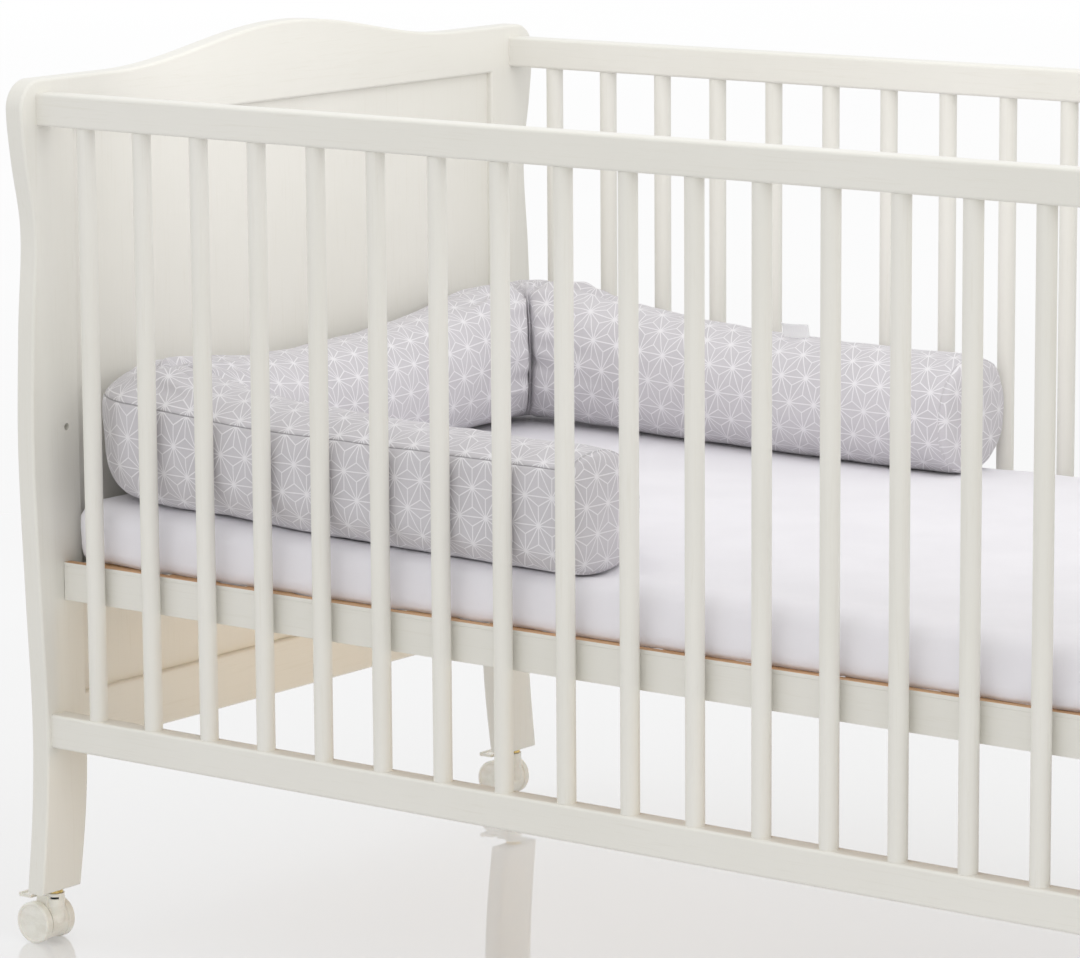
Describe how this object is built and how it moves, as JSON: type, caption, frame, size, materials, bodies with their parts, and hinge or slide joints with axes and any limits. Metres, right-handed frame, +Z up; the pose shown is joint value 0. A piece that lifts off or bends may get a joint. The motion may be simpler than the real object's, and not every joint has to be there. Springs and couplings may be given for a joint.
{
  "type": "baby crib",
  "caption": "Painted wooden crib with curved solid end panels, barred sides, a height-adjustable slatted base, braked twin-wheel casters, a sheeted mattress and a U-shaped bolster.",
  "frame": {"origin": "on the floor, under the middle of the crib", "axes": "+X along the crib's length, away from the end where the bolster wraps; +Y from the front side to the rear side; +Z up"},
  "size_m": [1.497, 0.81, 0.894],
  "materials": {
    "cream_paint": "satin cream lacquer on solid timber",
    "bare_wood": "planed, unfinished",
    "zinc_steel": "bright zinc plated",
    "brass_plate": "yellow passivated steel",
    "caster_plastic": "moulded, cream, slightly glossy",
    "sheet_cotton": "white jersey cotton",
    "bolster_cotton": "grey cotton with a white printed star lattice",
    "tag_satin": "white satin, blank"
  },
  "bodies": {
    "crib_frame": {"left_leg_front": "cream_paint", "left_leg_rear": "cream_paint", "left_top_rail": "cream_paint", "left_bottom_rail": "cream_paint", "left_infill_panel": "cream_paint", "left_joint_dowels": "bare_wood", "right_leg_front": "cream_paint", "right_leg_rear": "cream_paint", "right_top_rail": "cream_paint", "right_bottom_rail": "cream_paint", "right_infill_panel": "cream_paint", "right_joint_dowels": "bare_wood", "front_side_top_rail": "cream_paint", "front_side_bottom_rail": "cream_paint", "front_bars": "cream_paint", "rear_side_top_rail": "cream_paint", "rear_side_bottom_rail": "cream_paint", "rear_bars": "cream_paint", "side_bolts": "zinc_steel", "side_barrel_nuts": "zinc_steel", "base_bolts": "zinc_steel", "base_barrel_nuts": "zinc_steel", "base_rail_front": "cream_paint", "base_rail_rear": "cream_paint", "base_rail_left": "cream_paint", "base_rail_right": "cream_paint", "base_joint_dowels": "bare_wood", "slats": "bare_wood", "edge_strip_front": "bare_wood", "edge_strip_rear": "bare_wood", "left_front_stem": "brass_plate", "left_rear_stem": "brass_plate", "right_front_stem": "brass_plate", "right_rear_stem": "brass_plate"},
    "mattress": {"mattress": "sheet_cotton"},
    "bolster": {"bolster": "bolster_cotton", "bolster_tag": "tag_satin"},
    "left_front_caster": {"left_front_hood": "caster_plastic", "left_front_axle": "zinc_steel"},
    "left_front_outer_wheel": {"left_front_outer_wheel": "caster_plastic"},
    "left_front_inner_wheel": {"left_front_inner_wheel": "caster_plastic"},
    "left_front_brake_lever": {"left_front_brake_lever": "caster_plastic"},
    "left_rear_caster": {"left_rear_hood": "caster_plastic", "left_rear_axle": "zinc_steel"},
    "left_rear_outer_wheel": {"left_rear_outer_wheel": "caster_plastic"},
    "left_rear_inner_wheel": {"left_rear_inner_wheel": "caster_plastic"},
    "left_rear_brake_lever": {"left_rear_brake_lever": "caster_plastic"},
    "right_front_caster": {"right_front_hood": "caster_plastic", "right_front_axle": "zinc_steel"},
    "right_front_outer_wheel": {"right_front_outer_wheel": "caster_plastic"},
    "right_front_inner_wheel": {"right_front_inner_wheel": "caster_plastic"},
    "right_front_brake_lever": {"right_front_brake_lever": "caster_plastic"},
    "right_rear_caster": {"right_rear_hood": "caster_plastic", "right_rear_axle": "zinc_steel"},
    "right_rear_outer_wheel": {"right_rear_outer_wheel": "caster_plastic"},
    "right_rear_inner_wheel": {"right_rear_inner_wheel": "caster_plastic"},
    "right_rear_brake_lever": {"right_rear_brake_lever": "caster_plastic"}
  },
  "joints": [
    {"name": "mattress_lift_out", "type": "slide", "parent": "crib_frame", "child": "mattress", "axis": [0, 0, 1], "range_m": [0, 0.5]},
    {"name": "bolster_lift_off", "type": "slide", "parent": "mattress", "child": "bolster", "axis": [0, 0, 1], "range_m": [0, 0.4]},
    {"name": "left_front_swivel", "type": "hinge", "parent": "crib_frame", "child": "left_front_caster", "pos_m": [-0.713, -0.373, 0.05], "axis": [0, 0, 1], "continuous": true},
    {"name": "left_front_outer_wheel_spin", "type": "hinge", "parent": "left_front_caster", "child": "left_front_outer_wheel", "pos_m": [-0.726, -0.389, 0.021], "axis": [0, 1, 0], "continuous": true},
    {"name": "left_front_inner_wheel_spin", "type": "hinge", "parent": "left_front_caster", "child": "left_front_inner_wheel", "pos_m": [-0.726, -0.357, 0.021], "axis": [0, 1, 0], "continuous": true},
    {"name": "left_front_brake", "type": "hinge", "parent": "left_front_caster", "child": "left_front_brake_lever", "pos_m": [-0.725, -0.373, 0.046], "axis": [0, -1, 0], "range_deg": [0, 20]},
    {"name": "left_rear_swivel", "type": "hinge", "parent": "crib_frame", "child": "left_rear_caster", "pos_m": [-0.713, 0.373, 0.05], "axis": [0, 0, 1], "continuous": true},
    {"name": "left_rear_outer_wheel_spin", "type": "hinge", "parent": "left_rear_caster", "child": "left_rear_outer_wheel", "pos_m": [-0.726, 0.389, 0.021], "axis": [0, 1, 0], "continuous": true},
    {"name": "left_rear_inner_wheel_spin", "type": "hinge", "parent": "left_rear_caster", "child": "left_rear_inner_wheel", "pos_m": [-0.726, 0.357, 0.021], "axis": [0, 1, 0], "continuous": true},
    {"name": "left_rear_brake", "type": "hinge", "parent": "left_rear_caster", "child": "left_rear_brake_lever", "pos_m": [-0.725, 0.373, 0.046], "axis": [0, -1, 0], "range_deg": [0, 20]},
    {"name": "right_front_swivel", "type": "hinge", "parent": "crib_frame", "child": "right_front_caster", "pos_m": [0.713, -0.373, 0.05], "axis": [0, 0, 1], "continuous": true},
    {"name": "right_front_outer_wheel_spin", "type": "hinge", "parent": "right_front_caster", "child": "right_front_outer_wheel", "pos_m": [0.726, -0.389, 0.021], "axis": [0, 1, 0], "continuous": true},
    {"name": "right_front_inner_wheel_spin", "type": "hinge", "parent": "right_front_caster", "child": "right_front_inner_wheel", "pos_m": [0.726, -0.357, 0.021], "axis": [0, 1, 0], "continuous": true},
    {"name": "right_front_brake", "type": "hinge", "parent": "right_front_caster", "child": "right_front_brake_lever", "pos_m": [0.725, -0.373, 0.046], "axis": [0, 1, 0], "range_deg": [0, 20]},
    {"name": "right_rear_swivel", "type": "hinge", "parent": "crib_frame", "child": "right_rear_caster", "pos_m": [0.713, 0.373, 0.05], "axis": [0, 0, 1], "continuous": true},
    {"name": "right_rear_outer_wheel_spin", "type": "hinge", "parent": "right_rear_caster", "child": "right_rear_outer_wheel", "pos_m": [0.726, 0.389, 0.021], "axis": [0, 1, 0], "continuous": true},
    {"name": "right_rear_inner_wheel_spin", "type": "hinge", "parent": "right_rear_caster", "child": "right_rear_inner_wheel", "pos_m": [0.726, 0.357, 0.021], "axis": [0, 1, 0], "continuous": true},
    {"name": "right_rear_brake", "type": "hinge", "parent": "right_rear_caster", "child": "right_rear_brake_lever", "pos_m": [0.725, 0.373, 0.046], "axis": [0, 1, 0], "range_deg": [0, 20]}
  ]
}
